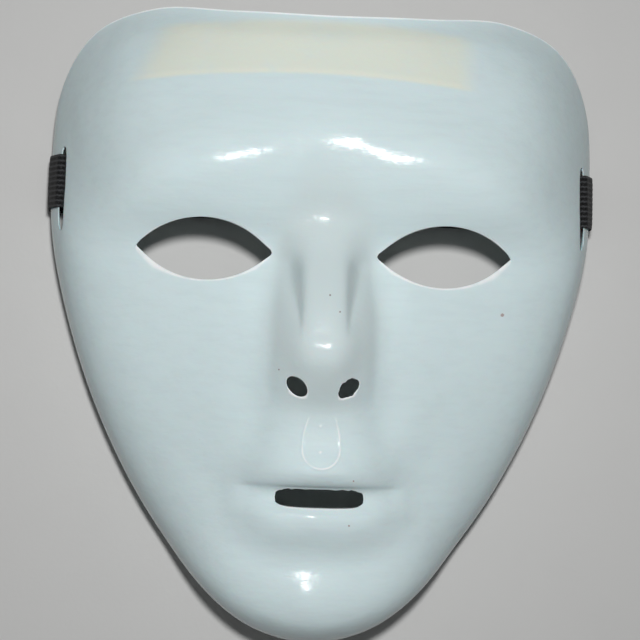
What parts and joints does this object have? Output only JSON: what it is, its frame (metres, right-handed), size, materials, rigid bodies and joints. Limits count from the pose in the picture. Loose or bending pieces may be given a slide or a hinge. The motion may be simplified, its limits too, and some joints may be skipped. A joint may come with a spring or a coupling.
{
  "type": "full face mask",
  "caption": "Plain white formed-plastic full face mask with eye, nostril and mouth openings, a foam brow strip and an elastic band through side slots.",
  "frame": {"origin": "under the middle of the mask's outline, on the surface that the mask lies on", "axes": "+X to the right of the face as it is looked at, +Y from the chin to the forehead, +Z out of the face"},
  "size_m": [0.1778, 0.1972, 0.0623],
  "materials": {
    "shell": "cool white thermoformed sheet, semi-gloss",
    "foam": "cream self-adhesive soft foam strip, matte",
    "elastic": "black woven elastic with fine ribs, matte"
  },
  "bodies": {
    "root": {"mask_shell": "shell", "forehead_foam": "foam", "elastic_strap": "elastic"}
  },
  "joints": []
}
